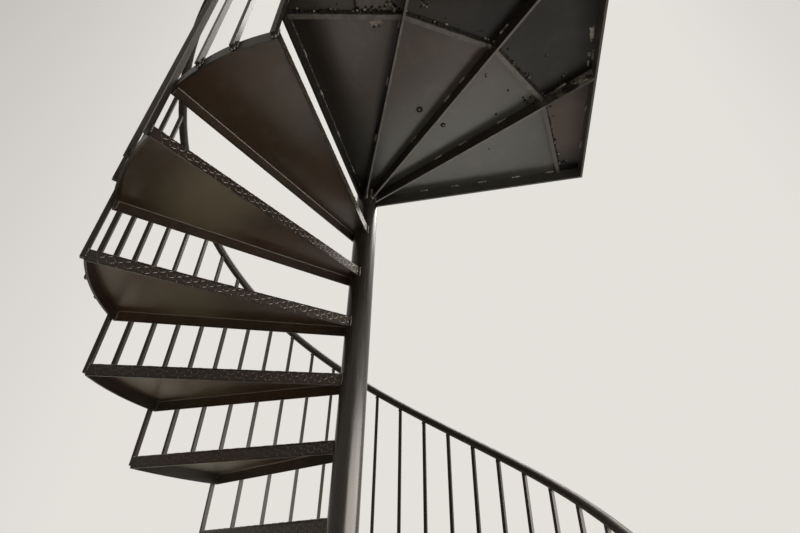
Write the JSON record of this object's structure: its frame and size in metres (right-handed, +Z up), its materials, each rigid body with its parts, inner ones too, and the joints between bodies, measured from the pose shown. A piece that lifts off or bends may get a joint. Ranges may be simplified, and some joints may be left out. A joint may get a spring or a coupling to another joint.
{
  "type": "spiral staircase",
  "caption": "Welded steel spiral stair with folded pan treads round a tube column, a helical handrail on square bar balusters and a square landing.",
  "frame": {"origin": "axis of the column at the underside of the base plate, on the floor", "axes": "+Z up along the column, +X along the landing's north edge, -Y along its west edge, where the stair arrives"},
  "size_m": [1.5982, 1.5981, 3.644],
  "materials": {
    "column_paint": "dark bronze enamel, satin",
    "tread_paint": "dark bronze enamel on chequered plate",
    "bar_paint": "dark bronze enamel, satin",
    "rail_paint": "dark bronze enamel, satin",
    "landing_paint": "dark bronze enamel with weld spatter"
  },
  "bodies": {
    "root": {"base_plate": "column_paint", "column": "column_paint", "column_cap": "column_paint", "tread_01": "tread_paint", "tread_02": "tread_paint", "tread_03": "tread_paint", "tread_04": "tread_paint", "tread_05": "tread_paint", "tread_06": "tread_paint", "tread_07": "tread_paint", "tread_08": "tread_paint", "tread_09": "tread_paint", "tread_10": "tread_paint", "tread_11": "tread_paint", "tread_12": "tread_paint", "tread_13": "tread_paint", "balusters_01": "bar_paint", "balusters_02": "bar_paint", "balusters_03": "bar_paint", "balusters_04": "bar_paint", "balusters_05": "bar_paint", "balusters_06": "bar_paint", "balusters_07": "bar_paint", "balusters_08": "bar_paint", "balusters_09": "bar_paint", "balusters_10": "bar_paint", "balusters_11": "bar_paint", "balusters_12": "bar_paint", "balusters_13": "bar_paint", "bottom_newel": "bar_paint", "guard_balusters": "bar_paint", "handrail": "rail_paint", "handrail_caps": "rail_paint", "guard_rail": "rail_paint", "guard_rail_cap": "rail_paint", "landing_plate": "landing_paint", "landing_apron": "landing_paint", "landing_cross_bars": "landing_paint", "landing_rib_south": "landing_paint", "landing_rib_middle": "landing_paint", "landing_rib_east": "landing_paint", "landing_edge_west": "landing_paint", "landing_edge_corner": "landing_paint", "landing_edge_south": "landing_paint", "landing_edge_east": "landing_paint", "landing_edge_north": "landing_paint"}
  },
  "joints": []
}
